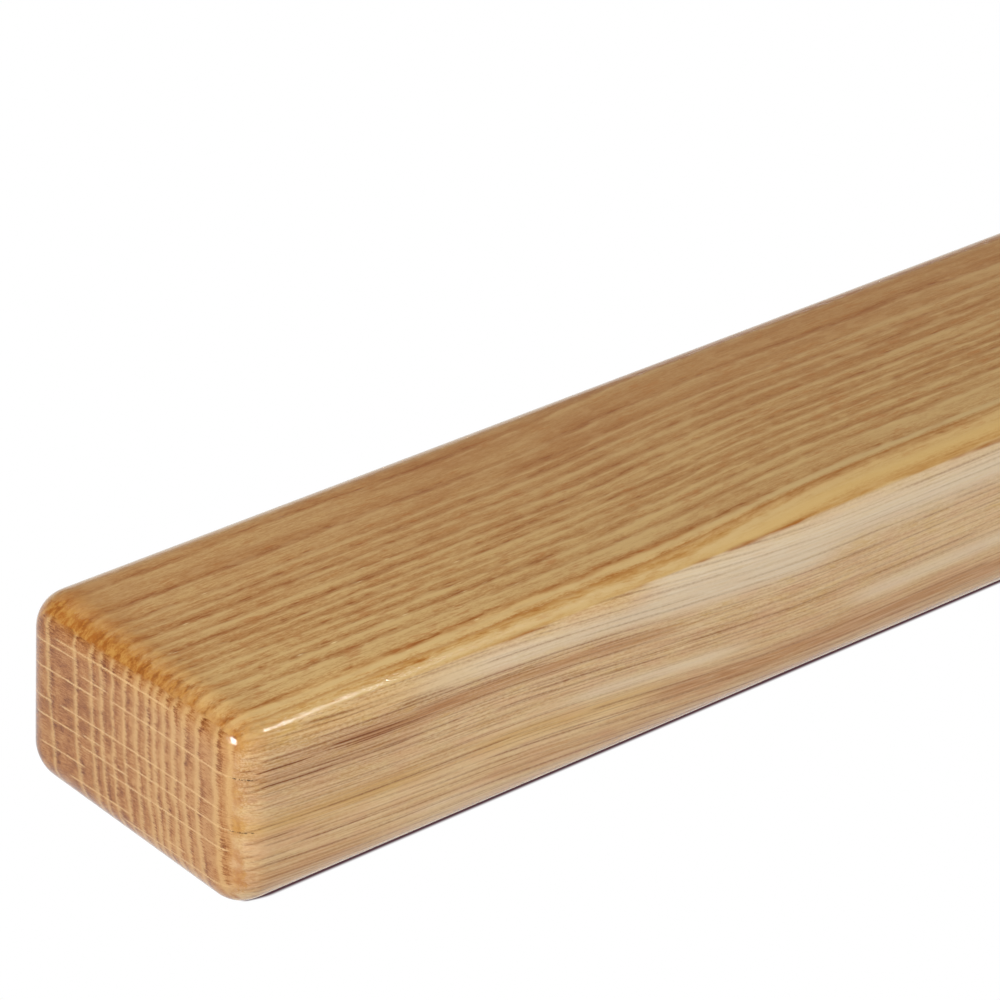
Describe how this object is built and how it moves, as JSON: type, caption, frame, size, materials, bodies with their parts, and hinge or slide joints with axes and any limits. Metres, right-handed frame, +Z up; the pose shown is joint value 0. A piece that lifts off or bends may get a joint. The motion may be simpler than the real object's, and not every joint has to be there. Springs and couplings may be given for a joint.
{
  "type": "stair handrail length",
  "caption": "Straight varnished oak handrail of rounded rectangular section with rounded-over ends, fixed on brackets along a stair or landing.",
  "frame": {"origin": "centre of the rail's flat underside", "axes": "+X along the rail and its grain, +Y across its width, +Z up out of its upper face"},
  "size_m": [1, 0.065, 0.04],
  "materials": {
    "varnished_oak": "satin clear varnish over straight-grained oak"
  },
  "bodies": {
    "root": {"handrail": "varnished_oak"}
  },
  "joints": []
}
